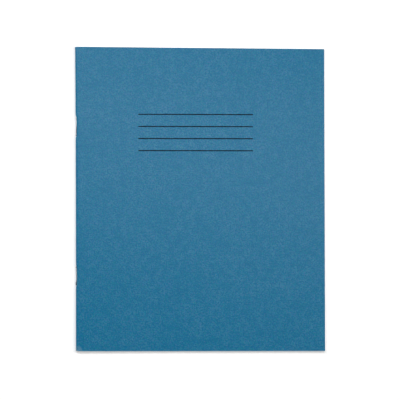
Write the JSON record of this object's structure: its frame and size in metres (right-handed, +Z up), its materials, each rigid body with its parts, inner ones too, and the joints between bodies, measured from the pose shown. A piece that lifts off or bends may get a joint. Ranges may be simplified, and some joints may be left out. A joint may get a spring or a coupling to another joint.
{
  "type": "stapled exercise book",
  "caption": "Thin exercise book of plain folded paper sheets in a blue card cover, wire-stapled through the fold; the front half swings open about the spine.",
  "frame": {"origin": "under the middle of the closed book, on the surface that the back cover lies on", "axes": "+Z up through the front cover, +Y towards the head of the book, +X from the spine to the fore edge"},
  "size_m": [0.1652, 0.2, 0.0044],
  "materials": {
    "cover_card": "matt dyed card",
    "page_paper": "uncoated writing paper",
    "staple_wire": "drawn wire"
  },
  "bodies": {
    "back_half": {"back_cover": "cover_card", "leaf_13": "page_paper", "leaf_14": "page_paper", "leaf_15": "page_paper", "leaf_16": "page_paper", "leaf_17": "page_paper", "leaf_18": "page_paper", "leaf_19": "page_paper", "leaf_20": "page_paper", "leaf_21": "page_paper", "leaf_22": "page_paper", "leaf_23": "page_paper", "leaf_24": "page_paper"},
    "binding": {"cover_spine": "cover_card", "fold_01": "page_paper", "fold_02": "page_paper", "fold_03": "page_paper", "fold_04": "page_paper", "fold_05": "page_paper", "fold_06": "page_paper", "fold_07": "page_paper", "fold_08": "page_paper", "fold_09": "page_paper", "fold_10": "page_paper", "fold_11": "page_paper", "fold_12": "page_paper", "staple_upper": "staple_wire", "staple_lower": "staple_wire"},
    "front_cover": {"front_cover": "cover_card"},
    "leaf_01": {"leaf_01": "page_paper"},
    "leaf_02": {"leaf_02": "page_paper"},
    "leaf_03": {"leaf_03": "page_paper"},
    "leaf_04": {"leaf_04": "page_paper"},
    "leaf_05": {"leaf_05": "page_paper"},
    "leaf_06": {"leaf_06": "page_paper"},
    "leaf_07": {"leaf_07": "page_paper"},
    "leaf_08": {"leaf_08": "page_paper"},
    "leaf_09": {"leaf_09": "page_paper"},
    "leaf_10": {"leaf_10": "page_paper"},
    "leaf_11": {"leaf_11": "page_paper"},
    "leaf_12": {"leaf_12": "page_paper"}
  },
  "joints": [
    {"name": "front_cover_open", "type": "hinge", "parent": "back_half", "child": "front_cover", "pos_m": [-0.08014, 0, 0.00221], "axis": [0, -1, 0], "range_deg": [0, 179.5], "deforming": ["cover_spine"]},
    {"name": "binding_turn", "type": "hinge", "parent": "back_half", "child": "binding", "pos_m": [-0.08014, 0, 0.00221], "axis": [0, -1, 0], "range_deg": [0, 89.75]},
    {"name": "leaf_01_turn", "type": "hinge", "parent": "back_half", "child": "leaf_01", "pos_m": [-0.08014, 0, 0.00221], "axis": [0, -1, 0], "range_deg": [0, 179.25], "deforming": ["fold_01"]},
    {"name": "leaf_02_turn", "type": "hinge", "parent": "back_half", "child": "leaf_02", "pos_m": [-0.08014, 0, 0.00221], "axis": [0, -1, 0], "range_deg": [0, 179], "deforming": ["fold_02"]},
    {"name": "leaf_03_turn", "type": "hinge", "parent": "back_half", "child": "leaf_03", "pos_m": [-0.08014, 0, 0.00221], "axis": [0, -1, 0], "range_deg": [0, 178.75], "deforming": ["fold_03"]},
    {"name": "leaf_04_turn", "type": "hinge", "parent": "back_half", "child": "leaf_04", "pos_m": [-0.08014, 0, 0.00221], "axis": [0, -1, 0], "range_deg": [0, 178.5], "deforming": ["fold_04"]},
    {"name": "leaf_05_turn", "type": "hinge", "parent": "back_half", "child": "leaf_05", "pos_m": [-0.08014, 0, 0.00221], "axis": [0, -1, 0], "range_deg": [0, 178.25], "deforming": ["fold_05"]},
    {"name": "leaf_06_turn", "type": "hinge", "parent": "back_half", "child": "leaf_06", "pos_m": [-0.08014, 0, 0.00221], "axis": [0, -1, 0], "range_deg": [0, 178], "deforming": ["fold_06"]},
    {"name": "leaf_07_turn", "type": "hinge", "parent": "back_half", "child": "leaf_07", "pos_m": [-0.08014, 0, 0.00221], "axis": [0, -1, 0], "range_deg": [0, 177.75], "deforming": ["fold_07"]},
    {"name": "leaf_08_turn", "type": "hinge", "parent": "back_half", "child": "leaf_08", "pos_m": [-0.08014, 0, 0.00221], "axis": [0, -1, 0], "range_deg": [0, 177.5], "deforming": ["fold_08"]},
    {"name": "leaf_09_turn", "type": "hinge", "parent": "back_half", "child": "leaf_09", "pos_m": [-0.08014, 0, 0.00221], "axis": [0, -1, 0], "range_deg": [0, 177.25], "deforming": ["fold_09"]},
    {"name": "leaf_10_turn", "type": "hinge", "parent": "back_half", "child": "leaf_10", "pos_m": [-0.08014, 0, 0.00221], "axis": [0, -1, 0], "range_deg": [0, 177], "deforming": ["fold_10"]},
    {"name": "leaf_11_turn", "type": "hinge", "parent": "back_half", "child": "leaf_11", "pos_m": [-0.08014, 0, 0.00221], "axis": [0, -1, 0], "range_deg": [0, 176.75], "deforming": ["fold_11"]},
    {"name": "leaf_12_turn", "type": "hinge", "parent": "back_half", "child": "leaf_12", "pos_m": [-0.08014, 0, 0.00221], "axis": [0, -1, 0], "range_deg": [0, 176.5], "deforming": ["fold_12"]}
  ],
  "couplings": [
    {"joint": "binding_turn", "follows": "front_cover_open", "ratio": 0.5},
    {"joint": "leaf_01_turn", "follows": "front_cover_open", "ratio": 0.99861},
    {"joint": "leaf_02_turn", "follows": "front_cover_open", "ratio": 0.99721},
    {"joint": "leaf_03_turn", "follows": "front_cover_open", "ratio": 0.99582},
    {"joint": "leaf_04_turn", "follows": "front_cover_open", "ratio": 0.99443},
    {"joint": "leaf_05_turn", "follows": "front_cover_open", "ratio": 0.99304},
    {"joint": "leaf_06_turn", "follows": "front_cover_open", "ratio": 0.99164},
    {"joint": "leaf_07_turn", "follows": "front_cover_open", "ratio": 0.99025},
    {"joint": "leaf_08_turn", "follows": "front_cover_open", "ratio": 0.98886},
    {"joint": "leaf_09_turn", "follows": "front_cover_open", "ratio": 0.98747},
    {"joint": "leaf_10_turn", "follows": "front_cover_open", "ratio": 0.98607},
    {"joint": "leaf_11_turn", "follows": "front_cover_open", "ratio": 0.98468},
    {"joint": "leaf_12_turn", "follows": "front_cover_open", "ratio": 0.98329}
  ]
}
